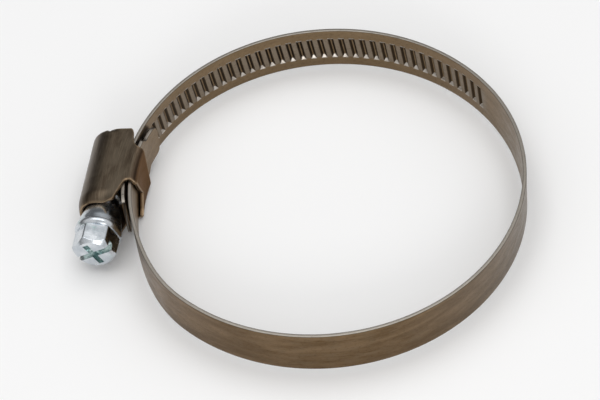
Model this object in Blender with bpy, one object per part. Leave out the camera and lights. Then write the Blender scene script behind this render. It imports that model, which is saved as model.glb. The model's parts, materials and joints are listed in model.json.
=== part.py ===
"""Worm-drive hose clamp, 50-70 mm size with a 9 mm band, opened almost to its largest diameter.

One steel strip makes the ring. Its plain end is fixed in the housing, and its embossed end
passes under the worm screw and out again as a short tail. The strip bends while it is drawn
in, so it is cut into four stretches that turn on each other about three upright axes.

Frame: metres, +Z up along the ring's axis, the housing on the -X side, the screw's axis along
Y with its hexagon towards -Y. The origin is the middle of the underside of the whole clamp.
Angles round the ring are counted from +X, counter-clockwise seen from above.
"""

import math

import bmesh
import bpy
from mathutils import Matrix, Vector

MM = 0.001

# Band
BAND_WIDTH = 9.0 * MM
BAND_THICKNESS = 0.65 * MM
RING_OUTER_RADIUS = 35.75 * MM
LAYER_STEP = 1.2 * MM  # how far the fixed end lies inside the threaded end
HINGE_GAP = 0.3 * MM
TONGUE_WIDTH = 6.8 * MM
FACET_DEG = 4.0  # how finely the plain strip is faceted

# Where the stretches of the band begin and end, in degrees
TONGUE_TIP_DEG = 161.7
TONGUE_SHOULDER_DEG = 167.7
SHOULDER_LENGTH_DEG = 2.0
FIXED_LAYER_END_DEG = 199.7
RING_LAYER_START_DEG = 232.7
HINGE_FRONT_DEG = 260.0
HINGE_RIGHT_DEG = 380.0
HINGE_BACK_DEG = 500.0
TAIL_END_DEG = 553.1

# Embossed thread
PITCH = 2.0 * MM
TOOTH_HEIGHT = 0.45 * MM
TOOTH_BASE = 1.0 * MM
TOOTH_LENGTH = 5.1 * MM
TOOTH_END_RAMP = 0.7 * MM
TOOTH_SLANT = 0.12  # sideways travel for each unit of height
THREAD_START_DEG = 402.7

# Housing
TUBE_AXIS_RADIUS = 38.6 * MM  # from the ring's axis to the middle of the tube
TUBE_OUTER_RADIUS = 4.9 * MM
SHEET = 0.65 * MM
SADDLE_HALF_HEIGHT = 5.4 * MM
SADDLE_INNER_RADIUS = 33.0 * MM
CHANNEL_INNER_RADIUS = 33.6 * MM
CHANNEL_OUTER_RADIUS = 36.05 * MM
CHANNEL_HALF_HEIGHT = 4.8 * MM
HOUSING_FRONT = -8.12 * MM
HOUSING_BACK = 8.68 * MM
SHOULDER_DROP = 2.2 * MM  # from the tube's middle to where the straight sides begin
WINDOW_TOP = 36.35 * MM  # height of both end windows, from the ring's axis
WINDOW_SILL = 29.0 * MM  # well inside the saddle, so that a window cuts right through
WINDOW_OVERSHOOT = 2.0 * MM
WINDOW_HALF_HEIGHT = 8.0 * MM
FRONT_ARCH = -3.5 * MM
FRONT_LIP_DEPTH = 0.3 * MM
BACK_ARCH = 4.0 * MM
BACK_WINDOW_CORNER = 1.6 * MM
FRONT_LIP_RADIUS = 3.65 * MM
BACK_LIP_RADIUS = 2.0 * MM  # smaller than the screw's journal, which bears on it
SADDLE_CORNER = 1.0 * MM
SADDLE_CUT_HEIGHT = 30.0 * MM
SADDLE_SEGMENTS = 180
CHANNEL_HALF_DEG = 24.0
CHANNEL_STEPS = 16
BORE_OVERSHOOT = 1.0 * MM
BORE_SEGMENTS = 32
TUBE_STEPS = 12
CORNER_STEPS = 4
ARCH_STEPS = 8

# Screw: places along its axis, from its front end to its back end, and radii
SCREW_AXIS_RADIUS = 38.9 * MM  # from the ring's axis; the screw lies towards the tube's outside
SCREW_FRONT = -16.72 * MM
HEX_FRONT = -15.9 * MM
FLANGE_FRONT = -12.52 * MM
FLANGE_BACK = -11.32 * MM
COLLAR_TAPER = -10.2 * MM
COLLAR_BACK = -6.72 * MM
THREAD_FRONT = -5.72 * MM
THREAD_BACK = 7.28 * MM
JOURNAL_FRONT = 7.38 * MM
JOURNAL_BACK = 7.73 * MM
END_FACE_RADIUS = 3.1 * MM
FLANGE_RADIUS = 4.2 * MM
COLLAR_RADIUS = 3.9 * MM
COLLAR_BACK_RADIUS = 3.15 * MM  # clears the band's teeth as they come out under the screw
CORE_RADIUS = 2.3 * MM
THREAD_RADIUS = 2.95 * MM
THREAD_CREST = 0.125  # half the crest's width, as a share of the pitch
THREAD_FLANK = 0.1875  # one flank's width, as a share of the pitch
THREAD_RUNOUT = 0.5  # length over which the thread fades at each end, in pitches
STATIONS_PER_PITCH = 6
SCREW_SEGMENTS = 24
JOURNAL_RADIUS = 2.8 * MM
HEX_ACROSS_FLATS = 7.0 * MM
HEX_TURN_DEG = 37.0  # direction of one flat, from straight outwards towards straight up
RECESS_BARS = ((152.0, 7.6 * MM), (62.0, 5.0 * MM))  # direction in degrees, length
RECESS_WIDTH = 1.1 * MM
RECESS_DEPTH = 1.6 * MM

RING_MID_RADIUS = RING_OUTER_RADIUS - BAND_THICKNESS / 2
FIXED_MID_RADIUS = RING_MID_RADIUS - LAYER_STEP
HOUSING_DEG = 540.0

# The ring's centre, placed so that the origin is the middle of the clamp's underside
LEFT_REACH = TUBE_AXIS_RADIUS + TUBE_OUTER_RADIUS
RING_CENTRE = Vector((
    (LEFT_REACH - RING_OUTER_RADIUS) / 2,
    -TOOTH_HEIGHT / 2,
    SADDLE_HALF_HEIGHT,
))


def clear_scene():
    for item in list(bpy.data.objects):
        bpy.data.objects.remove(item, do_unlink=True)


def steel(name, colour, roughness):
    material = bpy.data.materials.new(name)
    material.use_nodes = True
    shader = material.node_tree.nodes["Principled BSDF"]
    shader.inputs["Base Color"].default_value = (*colour, 1.0)
    shader.inputs["Metallic"].default_value = 1.0
    shader.inputs["Roughness"].default_value = roughness
    return material


def add_object(name, bm, origin, material):
    """Turn a bmesh given in ring coordinates into an object whose origin is at origin."""
    bmesh.ops.remove_doubles(bm, verts=bm.verts, dist=1e-7)
    bmesh.ops.recalc_face_normals(bm, faces=bm.faces)
    bmesh.ops.translate(bm, verts=bm.verts, vec=-origin)
    mesh = bpy.data.meshes.new(name)
    bm.to_mesh(mesh)
    bm.free()
    mesh.materials.append(material)
    mesh.shade_smooth()
    mesh.set_sharp_from_angle(angle=math.radians(30))
    item = bpy.data.objects.new(name, mesh)
    item.location = RING_CENTRE + origin
    bpy.context.scene.collection.objects.link(item)
    return item


def on_ring(radius, degrees, height=0.0):
    angle = math.radians(degrees)
    return Vector((radius * math.cos(angle), radius * math.sin(angle), height))


def smooth(value):
    value = min(max(value, 0.0), 1.0)
    return value * value * (3 - 2 * value)


def degrees_of(length):
    return math.degrees(length / RING_MID_RADIUS)


# Band ---------------------------------------------------------------------------------------


def fixed_layer_radius(degrees):
    """Mid radius of the fixed end: inside the threaded end, then out to the ring's own radius."""
    span = RING_LAYER_START_DEG - FIXED_LAYER_END_DEG
    rise = smooth((degrees - FIXED_LAYER_END_DEG) / span)
    return FIXED_MID_RADIUS + LAYER_STEP * rise


def ring_radius(degrees):
    return RING_MID_RADIUS


def strip_bmesh(stations, radius_at):
    """A closed strip. Each station is (rows, degrees at mid height, slant, embossing),
    where rows are the heights of its points and embossing their outward offsets."""
    bm = bmesh.new()
    half = BAND_THICKNESS / 2
    faces_of = []
    for rows, degrees, slant, raised in stations:
        outer = []
        inner = []
        for height, lift in zip(rows, raised):
            place = degrees + degrees_of(slant * height)
            middle = radius_at(place) + lift
            outer.append(bm.verts.new(on_ring(middle + half, place, height)))
            inner.append(bm.verts.new(on_ring(middle - half, place, height)))
        faces_of.append((outer, inner))
    for (outer_a, inner_a), (outer_b, inner_b) in zip(faces_of, faces_of[1:]):
        for row in range(len(outer_a) - 1):
            bm.faces.new((outer_a[row], outer_b[row], outer_b[row + 1], outer_a[row + 1]))
            bm.faces.new((inner_a[row + 1], inner_b[row + 1], inner_b[row], inner_a[row]))
        bm.faces.new((outer_a[0], inner_a[0], inner_b[0], outer_b[0]))
        bm.faces.new((outer_b[-1], inner_b[-1], inner_a[-1], outer_a[-1]))
    for outer, inner in (faces_of[0], faces_of[-1]):
        for row in range(len(outer) - 1):
            bm.faces.new((outer[row], outer[row + 1], inner[row + 1], inner[row]))
    return bm


def plain_rows(width=BAND_WIDTH):
    return (-width / 2, width / 2)


def plain_stations(start, end, width=BAND_WIDTH):
    count = max(1, round((end - start) / FACET_DEG))
    rows = plain_rows(width)
    return [
        (rows, start + (end - start) * index / count, 0.0, (0.0, 0.0))
        for index in range(count + 1)
    ]


THREAD_ROWS = (
    -BAND_WIDTH / 2,
    -TOOTH_LENGTH / 2,
    -TOOTH_LENGTH / 2 + TOOTH_END_RAMP,
    TOOTH_LENGTH / 2 - TOOTH_END_RAMP,
    TOOTH_LENGTH / 2,
    BAND_WIDTH / 2,
)
FLAT = (0.0,) * len(THREAD_ROWS)
RAISED = (0.0, 0.0, TOOTH_HEIGHT, TOOTH_HEIGHT, 0.0, 0.0)


def thread_stations(start, end):
    """Stations of an embossed stretch: three to a tooth, slanted like the worm's thread."""
    stations = [(THREAD_ROWS, start, 0.0, FLAT)]
    step = degrees_of(PITCH)
    side = degrees_of(TOOTH_BASE / 2)
    margin = degrees_of(TOOTH_SLANT * BAND_WIDTH / 2) + side
    first = math.ceil((start + margin - THREAD_START_DEG) / step)
    tooth = THREAD_START_DEG + max(first, 0) * step
    place = start + FACET_DEG
    while place < tooth - side - FACET_DEG:
        stations.append((THREAD_ROWS, place, 0.0, FLAT))
        place += FACET_DEG
    while tooth + margin < end:
        stations.append((THREAD_ROWS, tooth - side, TOOTH_SLANT, FLAT))
        stations.append((THREAD_ROWS, tooth, TOOTH_SLANT, RAISED))
        stations.append((THREAD_ROWS, tooth + side, TOOTH_SLANT, FLAT))
        tooth += step
    stations.append((THREAD_ROWS, end, 0.0, FLAT))
    return stations


def band_fixed_end(material):
    """The plain end: a narrowed tongue, the part under the housing and the front left of the ring."""
    stations = plain_stations(TONGUE_TIP_DEG, TONGUE_SHOULDER_DEG, TONGUE_WIDTH)
    shoulder = TONGUE_SHOULDER_DEG + SHOULDER_LENGTH_DEG
    end = HINGE_FRONT_DEG - degrees_of(HINGE_GAP / 2)
    stations += plain_stations(shoulder, end)
    bm = strip_bmesh(stations, fixed_layer_radius)
    return add_object("band_fixed_end", bm, Vector(), material)


def band_front_stretch(material):
    half_gap = degrees_of(HINGE_GAP / 2)
    stations = plain_stations(HINGE_FRONT_DEG + half_gap, HINGE_RIGHT_DEG - half_gap)
    bm = strip_bmesh(stations, ring_radius)
    hinge = on_ring(RING_MID_RADIUS, HINGE_FRONT_DEG)
    return add_object("band_front_stretch", bm, hinge, material)


def band_back_stretch(material):
    half_gap = degrees_of(HINGE_GAP / 2)
    stations = thread_stations(HINGE_RIGHT_DEG + half_gap, HINGE_BACK_DEG - half_gap)
    bm = strip_bmesh(stations, ring_radius)
    hinge = on_ring(RING_MID_RADIUS, HINGE_RIGHT_DEG)
    return add_object("band_back_stretch", bm, hinge, material)


def band_threaded_end(material):
    half_gap = degrees_of(HINGE_GAP / 2)
    stations = thread_stations(HINGE_BACK_DEG + half_gap, TAIL_END_DEG)
    bm = strip_bmesh(stations, ring_radius)
    hinge = on_ring(RING_MID_RADIUS, HINGE_BACK_DEG)
    return add_object("band_threaded_end", bm, hinge, material)


# Housing ------------------------------------------------------------------------------------


def prism(outline, start, end, place):
    """A closed prism: outline points are put at both ends of the sweep by place(point, where)."""
    bm = bmesh.new()
    near = [bm.verts.new(place(point, start)) for point in outline]
    far = [bm.verts.new(place(point, end)) for point in outline]
    bm.faces.new(near)
    bm.faces.new(list(reversed(far)))
    for index in range(len(outline)):
        following = (index + 1) % len(outline)
        bm.faces.new((near[index], far[index], far[following], near[following]))
    return bm


def arc(centre, radius, start, end, count):
    return [
        (
            centre[0] + radius * math.cos(math.radians(start + (end - start) * step / count)),
            centre[1] + radius * math.sin(math.radians(start + (end - start) * step / count)),
        )
        for step in range(count + 1)
    ]


def across(point, along):
    """Outline in (distance from the ring's axis, height), swept along the housing."""
    return Vector((-point[0], along, point[1]))


def upright(point, height):
    """Outline in (distance from the ring's axis, place along the housing), swept upwards."""
    return Vector((-point[0], point[1], height))


def housing_outline():
    """Half round over the screw, with straight sides that widen to the saddle's corners."""
    top = SADDLE_HALF_HEIGHT
    corner = (SADDLE_INNER_RADIUS, top - SADDLE_CORNER)
    points = arc((TUBE_AXIS_RADIUS, 0.0), TUBE_OUTER_RADIUS, 0.0, 90.0, TUBE_STEPS)
    points.append((TUBE_AXIS_RADIUS - SHOULDER_DROP, top))
    points += arc(corner, SADDLE_CORNER, 90.0, 180.0, CORNER_STEPS)
    lower = [(distance, -height) for distance, height in reversed(points)]
    return points + lower[:-1]


def front_window():
    """Opening over the tail: square at the lip, arched towards the saddle."""
    lip = HOUSING_FRONT + FRONT_LIP_DEPTH
    front = HOUSING_FRONT - WINDOW_OVERSHOOT
    rise = WINDOW_TOP - SADDLE_INNER_RADIUS
    points = [(WINDOW_SILL, front), (WINDOW_TOP, front)]
    for step in range(ARCH_STEPS + 1):
        angle = math.radians(90.0 * step / ARCH_STEPS)
        points.append((
            WINDOW_TOP - rise * (1 - math.cos(angle)),
            lip + (FRONT_ARCH - lip) * math.sin(angle),
        ))
    points.append((WINDOW_SILL, FRONT_ARCH))
    return points


def back_window():
    """Opening where the band enters, with a rounded corner."""
    back = HOUSING_BACK + WINDOW_OVERSHOOT
    corner = BACK_WINDOW_CORNER
    points = [(WINDOW_SILL, BACK_ARCH)]
    points += arc((WINDOW_TOP - corner, BACK_ARCH + corner), corner, -90.0, 0.0, CORNER_STEPS)
    points += [(WINDOW_TOP, back), (WINDOW_SILL, back)]
    return points


def channel_cutter():
    """Room for both layers of the band, curved about the ring's axis."""
    bm = bmesh.new()
    first_angle = HOUSING_DEG - 360.0 - CHANNEL_HALF_DEG
    step_angle = 2 * CHANNEL_HALF_DEG / CHANNEL_STEPS
    rings = []
    for radius in (CHANNEL_INNER_RADIUS, CHANNEL_OUTER_RADIUS):
        for height in (-CHANNEL_HALF_HEIGHT, CHANNEL_HALF_HEIGHT):
            rings.append([
                bm.verts.new(on_ring(radius, first_angle + step_angle * step, height))
                for step in range(CHANNEL_STEPS + 1)
            ])
    low_in, high_in, low_out, high_out = rings
    loop = (low_in, low_out, high_out, high_in)
    for first, second in zip(loop, loop[1:] + loop[:1]):
        for step in range(CHANNEL_STEPS):
            bm.faces.new((first[step], second[step], second[step + 1], first[step + 1]))
    bm.faces.new([ring[0] for ring in loop])
    bm.faces.new([ring[-1] for ring in reversed(loop)])
    return bm


def saddle_cutter():
    """Everything inside the saddle's inner face."""
    bm = bmesh.new()
    bmesh.ops.create_cone(
        bm, cap_ends=True, segments=SADDLE_SEGMENTS, radius1=SADDLE_INNER_RADIUS,
        radius2=SADDLE_INNER_RADIUS, depth=SADDLE_CUT_HEIGHT,
    )
    return bm


def bore_cutter():
    """The inside of the tube, between its front lip and its back plate."""
    bore = TUBE_OUTER_RADIUS - SHEET
    front = HOUSING_FRONT + SHEET
    back = HOUSING_BACK - SHEET
    profile = [(0.0, front), (bore, front), (bore, back), (0.0, back)]
    return turned(profile, BORE_SEGMENTS, TUBE_AXIS_RADIUS)


def lip_cutter(radius, start, end):
    """A round hole about the screw's axis."""
    profile = [(0.0, start), (radius, start), (radius, end), (0.0, end)]
    return turned(profile, BORE_SEGMENTS, SCREW_AXIS_RADIUS)


def turned(profile, segments, axis_radius):
    """A turned piece on an axis along the housing; profile is (radius, place along the axis)."""
    bm = bmesh.new()
    rings = []
    for radius, along in profile:
        if radius == 0.0:
            rings.append([bm.verts.new(Vector((-axis_radius, along, 0.0)))])
            continue
        rings.append([
            bm.verts.new(Vector((
                -axis_radius + radius * math.cos(2 * math.pi * step / segments),
                along,
                radius * math.sin(2 * math.pi * step / segments),
            )))
            for step in range(segments)
        ])
    for first, second in zip(rings, rings[1:]):
        for step in range(segments):
            following = (step + 1) % segments
            corners = [first[step % len(first)], second[step % len(second)],
                       second[following % len(second)], first[following % len(first)]]
            bm.faces.new(list(dict.fromkeys(corners)))
    return bm


def cut(item, name, bm, material):
    """Cut item by the closed bmesh bm."""
    cutter = add_object(name, bm, Vector(), material)
    cutter.hide_render = True
    cutter.display_type = "WIRE"
    modifier = item.modifiers.new(name, "BOOLEAN")
    modifier.operation = "DIFFERENCE"
    modifier.solver = "EXACT"
    modifier.object = cutter


def housing(material):
    """Pressed sheet: a tube over the screw whose skirts wrap both layers of the band."""
    bm = prism(housing_outline(), HOUSING_FRONT, HOUSING_BACK, across)
    item = add_object("housing", bm, Vector(), material)
    tall = WINDOW_HALF_HEIGHT
    cut(item, "cut_saddle", saddle_cutter(), material)
    cut(item, "cut_bore", bore_cutter(), material)
    front_lip = lip_cutter(FRONT_LIP_RADIUS, HOUSING_FRONT - BORE_OVERSHOOT, 0.0)
    cut(item, "cut_front_lip", front_lip, material)
    back_lip = lip_cutter(BACK_LIP_RADIUS, 0.0, HOUSING_BACK + BORE_OVERSHOOT)
    cut(item, "cut_back_lip", back_lip, material)
    cut(item, "cut_channel", channel_cutter(), material)
    cut(item, "cut_front_window", prism(front_window(), -tall, tall, upright), material)
    cut(item, "cut_back_window", prism(back_window(), -tall, tall, upright), material)
    return item


# Screw --------------------------------------------------------------------------------------


def worm_phase():
    """Place of the worm's crest within one pitch that puts it midway between two teeth."""
    step = degrees_of(PITCH)
    tooth = RING_MID_RADIUS * math.radians((HOUSING_DEG - THREAD_START_DEG) % step)
    return ((tooth - PITCH / 2) / PITCH - 0.5) % 1.0


def thread_radius(along, turn):
    """Radius of the worm at a place along its axis and a turn from 0 to 1, a right-hand thread."""
    phase = (along / PITCH - turn - worm_phase() + 0.5) % 1.0 - 0.5
    crest = (THREAD_CREST + THREAD_FLANK - abs(phase)) / THREAD_FLANK
    runout = min(along - THREAD_FRONT, THREAD_BACK - along) / (THREAD_RUNOUT * PITCH)
    share = min(max(crest, 0.0), 1.0) * min(max(runout, 0.0), 1.0)
    return CORE_RADIUS + (THREAD_RADIUS - CORE_RADIUS) * share


def hexagon_radius(degrees):
    sector = (degrees - HEX_TURN_DEG + 30.0) % 60.0 - 30.0
    return HEX_ACROSS_FLATS / 2 / math.cos(math.radians(sector))


def screw_stations():
    """Cross-sections of the screw as (place along its axis, radius at a turn from 0 to 1)."""

    def circle(radius):
        return lambda turn: radius

    def hexagon(turn):
        return hexagon_radius(360.0 * turn)

    stations = [
        (SCREW_FRONT, circle(END_FACE_RADIUS)),
        (HEX_FRONT, hexagon),
        (FLANGE_FRONT, hexagon),
        (FLANGE_FRONT, circle(FLANGE_RADIUS)),
        (FLANGE_BACK, circle(FLANGE_RADIUS)),
        (FLANGE_BACK, circle(COLLAR_RADIUS)),
        (COLLAR_TAPER, circle(COLLAR_RADIUS)),
        (COLLAR_BACK, circle(COLLAR_BACK_RADIUS)),
        (COLLAR_BACK, circle(CORE_RADIUS)),
    ]
    steps = round((THREAD_BACK - THREAD_FRONT) / PITCH * STATIONS_PER_PITCH)
    for step in range(steps + 1):
        along = THREAD_FRONT + PITCH * step / STATIONS_PER_PITCH
        stations.append((along, lambda turn, along=along: thread_radius(along, turn)))
    stations += [
        (JOURNAL_FRONT, circle(CORE_RADIUS)),
        (JOURNAL_FRONT, circle(JOURNAL_RADIUS)),
        (JOURNAL_BACK, circle(JOURNAL_RADIUS)),
    ]
    return stations


def screw(material):
    """Worm, neck, collar, flange and hexagon made as one piece, with a crossed recess."""
    bm = bmesh.new()
    rings = []
    for along, radius_at in screw_stations():
        ring = []
        for index in range(SCREW_SEGMENTS):
            turn = HEX_TURN_DEG / 360.0 + index / SCREW_SEGMENTS
            radius = radius_at(turn)
            out = SCREW_AXIS_RADIUS + radius * math.cos(2 * math.pi * turn)
            ring.append(bm.verts.new((-out, along, radius * math.sin(2 * math.pi * turn))))
        rings.append(ring)
    for first, second in zip(rings, rings[1:]):
        for index in range(SCREW_SEGMENTS):
            following = (index + 1) % SCREW_SEGMENTS
            bm.faces.new((first[index], second[index], second[following], first[following]))
    bm.faces.new(rings[0])
    bm.faces.new(list(reversed(rings[-1])))
    item = add_object("screw", bm, Vector((-SCREW_AXIS_RADIUS, 0.0, 0.0)), material)
    for number, (degrees, length) in enumerate(RECESS_BARS, start=1):
        cut(item, f"cut_recess_{number}", recess_bar(degrees, length), material)
    return item


def recess_bar(degrees, length):
    """One bar of the crossed recess in the end of the hexagon."""
    bm = bmesh.new()
    bmesh.ops.create_cube(bm, size=1.0)
    size = (length, 2 * RECESS_DEPTH, RECESS_WIDTH)
    bmesh.ops.scale(bm, vec=size, verts=bm.verts)
    bmesh.ops.rotate(
        bm, cent=Vector(), verts=bm.verts,
        matrix=Matrix.Rotation(math.radians(degrees), 3, "Y"),
    )
    place = Vector((-SCREW_AXIS_RADIUS, SCREW_FRONT, 0.0))
    bmesh.ops.translate(bm, vec=place, verts=bm.verts)
    return bm


def main():
    clear_scene()
    band_steel = steel("band_steel", (0.36, 0.30, 0.24), 0.42)
    housing_steel = steel("housing_steel", (0.32, 0.29, 0.25), 0.45)
    screw_zinc = steel("screw_zinc", (0.62, 0.65, 0.68), 0.30)
    band_fixed_end(band_steel)
    band_front_stretch(band_steel)
    band_back_stretch(band_steel)
    band_threaded_end(band_steel)
    housing(housing_steel)
    screw(screw_zinc)


main()
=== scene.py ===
"""Looks of the worm-drive hose clamp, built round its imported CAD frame.

Lengths are in metres unless a name or a comment says otherwise. Places on the band are given
by an angle round the ring, from +X, counter-clockwise seen from above, so the housing is at
180 and 540 degrees. Places on the housing and the screw are given as (out, along, up): the
distance from the ring's axis, the place along the screw's axis and the height from the band's
middle.
"""

import json
import math

import bmesh
import bpy
import numpy as np
from mathutils import Matrix, Vector


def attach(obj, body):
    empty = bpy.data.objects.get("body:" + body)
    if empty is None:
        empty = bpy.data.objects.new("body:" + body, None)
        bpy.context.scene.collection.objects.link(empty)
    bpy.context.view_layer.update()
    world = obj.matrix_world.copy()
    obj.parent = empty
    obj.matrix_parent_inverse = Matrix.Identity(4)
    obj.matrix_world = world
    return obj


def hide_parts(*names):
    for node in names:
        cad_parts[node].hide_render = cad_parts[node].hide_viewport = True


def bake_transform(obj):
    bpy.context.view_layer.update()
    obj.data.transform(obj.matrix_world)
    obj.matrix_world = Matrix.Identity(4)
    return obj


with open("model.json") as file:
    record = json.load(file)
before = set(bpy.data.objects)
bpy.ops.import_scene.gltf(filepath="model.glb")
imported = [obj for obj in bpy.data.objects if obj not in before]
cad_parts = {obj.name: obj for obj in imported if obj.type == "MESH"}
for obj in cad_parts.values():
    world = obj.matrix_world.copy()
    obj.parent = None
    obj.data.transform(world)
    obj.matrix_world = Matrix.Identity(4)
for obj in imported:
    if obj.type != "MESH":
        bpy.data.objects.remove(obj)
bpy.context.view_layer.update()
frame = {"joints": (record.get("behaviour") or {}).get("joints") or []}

MM = 0.001
JOINT_PLACE = {joint["name"]: Vector(joint["pos_m"]) for joint in frame["joints"]}
SCREW_AXIS_OUT = 38.9 * MM
RING_CENTRE = JOINT_PLACE["screw_turn"] + Vector((SCREW_AXIS_OUT, 0.0, 0.0))

# Band
RING_MID_RADIUS = (JOINT_PLACE["band_bend_right"] - RING_CENTRE).length
BAND_WIDTH = 9.0 * MM
BAND_THICKNESS = 0.65 * MM
LAYER_STEP = 1.2 * MM
EDGE_ROUNDING = 0.13 * MM
TONGUE_WIDTH = 6.8 * MM
TONGUE_CORNER = 1.6 * MM
TONGUE_TIP_DEG = 160.7
TONGUE_SHOULDER_DEG = 167.7
SHOULDER_LENGTH_DEG = 2.0
FIXED_LAYER_END_DEG = 199.7
RING_LAYER_START_DEG = 232.7
TAIL_END_DEG = 553.1
TAIL_CORNER = 0.5 * MM

# Where one band piece meets the next
SEAM_FIXED_DEG = 224.7
SEAM_FRONT_DEG = 320.0
SEAM_BACK_DEG = 440.0
SEAM_TAIL_DEG = 520.7

# Embossed thread
PITCH = 2.0 * MM
TOOTH_HEIGHT = 0.45 * MM
TOOTH_HALF_WIDTH = 0.54 * MM
TOOTH_HALF_FLAT = 0.1 * MM
TOOTH_LENGTH = 4.95 * MM
TOOTH_RAMP = 0.62 * MM
TOOTH_SLANT = 0.12
LAND_CROWN = 0.035 * MM
THREAD_START_DEG = 402.7

SHARP_DEG = 35.0  # faces that meet at more than this show a crease


def smooth(value):
    value = min(max(value, 0.0), 1.0)
    return value * value * (3 - 2 * value)


def degrees_of(length):
    return math.degrees(length / RING_MID_RADIUS)


def on_ring(radius, degrees, height):
    angle = math.radians(degrees)
    return RING_CENTRE + Vector((radius * math.cos(angle), radius * math.sin(angle), height))


def from_housing(out, along, up):
    return RING_CENTRE + Vector((-out, along, up))


def loop_faces(bm, rings, closed):
    """Join neighbouring rings of points by quads; closed joins the last ring to the first."""
    following = rings[1:] + rings[:1] if closed else rings[1:]
    for first, second in zip(rings, following):
        for index in range(len(first)):
            after = (index + 1) % len(first)
            corners = (first[index], first[after], second[after], second[index])
            bm.faces.new(corners)


def cap_ends(bm, rings):
    bm.faces.new(rings[0])
    bm.faces.new(list(reversed(rings[-1])))


def finish_piece(name, bm, material):
    bmesh.ops.recalc_face_normals(bm, faces=bm.faces)
    mesh = bpy.data.meshes.new(name)
    bm.to_mesh(mesh)
    bm.free()
    mesh.materials.append(material)
    mesh.shade_smooth()
    mesh.set_sharp_from_angle(angle=math.radians(SHARP_DEG))
    piece = bpy.data.objects.new(name, mesh)
    bpy.context.scene.collection.objects.link(piece)
    return piece


def store(piece, name, rows):
    """Keep three numbers for each point of a piece, for its material to read."""
    attribute = piece.data.attributes.new(name, "FLOAT_VECTOR", "POINT")
    attribute.data.foreach_set("vector", np.array(rows, np.float32).ravel())


# Materials ----------------------------------------------------------------------------------


# Sockets of a colour mix node
MIX_SHARE, MIX_FIRST, MIX_SECOND = 0, 6, 7
MIX_RESULT = 2


class Nodes:
    """A material's node tree with short calls for the nodes used here."""

    def __init__(self, name):
        self.material = bpy.data.materials.new(name)
        self.material.use_nodes = True
        self.tree = self.material.node_tree
        self.shader = self.tree.nodes["Principled BSDF"]

    def link(self, source, target):
        self.tree.links.new(source, target)

    def put(self, socket, value):
        if isinstance(value, bpy.types.NodeSocket):
            self.link(value, socket)
        else:
            socket.default_value = value

    def attribute(self, name):
        made = self.tree.nodes.new("ShaderNodeAttribute")
        made.attribute_name = name
        return made.outputs["Vector"]

    def place(self):
        return self.tree.nodes.new("ShaderNodeTexCoord").outputs["Object"]

    def scaled(self, vector, scale):
        made = self.tree.nodes.new("ShaderNodeVectorMath")
        made.operation = "MULTIPLY"
        self.link(vector, made.inputs[0])
        made.inputs[1].default_value = scale
        return made.outputs["Vector"]

    def noise(self, vector, scale, detail, roughness, distortion=0.0):
        made = self.tree.nodes.new("ShaderNodeTexNoise")
        self.link(vector, made.inputs["Vector"])
        made.inputs["Scale"].default_value = scale
        made.inputs["Detail"].default_value = detail
        made.inputs["Roughness"].default_value = roughness
        made.inputs["Distortion"].default_value = distortion
        return made.outputs["Fac"]

    def part(self, vector, axis):
        made = self.tree.nodes.new("ShaderNodeSeparateXYZ")
        self.link(vector, made.inputs[0])
        return made.outputs[axis]

    def math(self, operation, first, second):
        made = self.tree.nodes.new("ShaderNodeMath")
        made.operation = operation
        self.put(made.inputs[0], first)
        self.put(made.inputs[1], second)
        return made.outputs[0]

    def pattern(self, vector, stretch, detail, roughness, distortion=0.0):
        """Noise on a vector whose three parts are first scaled by stretch."""
        return self.noise(self.scaled(vector, stretch), 1.0, detail, roughness, distortion)

    def span(self, value, low, high, to_low=0.0, to_high=1.0):
        """Map low..high smoothly to to_low..to_high."""
        made = self.tree.nodes.new("ShaderNodeMapRange")
        made.interpolation_type = "SMOOTHSTEP"
        self.link(value, made.inputs["Value"])
        made.inputs["From Min"].default_value = low
        made.inputs["From Max"].default_value = high
        made.inputs["To Min"].default_value = to_low
        made.inputs["To Max"].default_value = to_high
        return made.outputs["Result"]

    def mix(self, share, first, second):
        made = self.tree.nodes.new("ShaderNodeMix")
        made.data_type = "RGBA"
        self.put(made.inputs[MIX_SHARE], share)
        self.put(made.inputs[MIX_FIRST], first)
        self.put(made.inputs[MIX_SECOND], second)
        return made.outputs[MIX_RESULT]

    def bump(self, height, strength, distance, normal=None):
        made = self.tree.nodes.new("ShaderNodeBump")
        made.inputs["Strength"].default_value = strength
        made.inputs["Distance"].default_value = distance
        self.link(height, made.inputs["Height"])
        if normal is not None:
            self.link(normal, made.inputs["Normal"])
        return made.outputs["Normal"]


def rgb(red, green, blue):
    return (red, green, blue, 1.0)


WHITE = rgb(1.0, 1.0, 1.0)

STRIP_DARK = rgb(0.115, 0.066, 0.026)
STRIP_BROWN = rgb(0.200, 0.128, 0.066)
STRIP_BLOTCH = rgb(0.180, 0.125, 0.072)
STRIP_STREAK = rgb(0.225, 0.165, 0.105)
# painted grazing reflection: a paler grey over the ring's right side
STRIP_GRAZING_REFLECTION = rgb(0.19, 0.165, 0.135)
STRIP_INNER = rgb(0.215, 0.153, 0.090)
# painted sheen: a lighter tone on the land between two teeth
STRIP_LAND_SHEEN = rgb(0.215, 0.180, 0.142)
# painted shade: near black in the grooves' flanks on the inner face
STRIP_FLANK_SHADE = rgb(0.012, 0.008, 0.005)
# burnished metal and a painted highlight on the teeth's sloping ends
STRIP_BURNISH_AND_HIGHLIGHT = rgb(0.62, 0.58, 0.53)
# painted dark reflection: a dark line where each edge starts to round
STRIP_EDGE_SHADE = rgb(0.055, 0.045, 0.036)
STRIP_CUT_EDGE = rgb(0.31, 0.285, 0.25)
STRIP_SPECK = rgb(0.052, 0.030, 0.014)
INNER_SHARE = 0.65
# share of the painted flank shade
FLANK_SHADE_SHARE = 0.88

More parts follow.
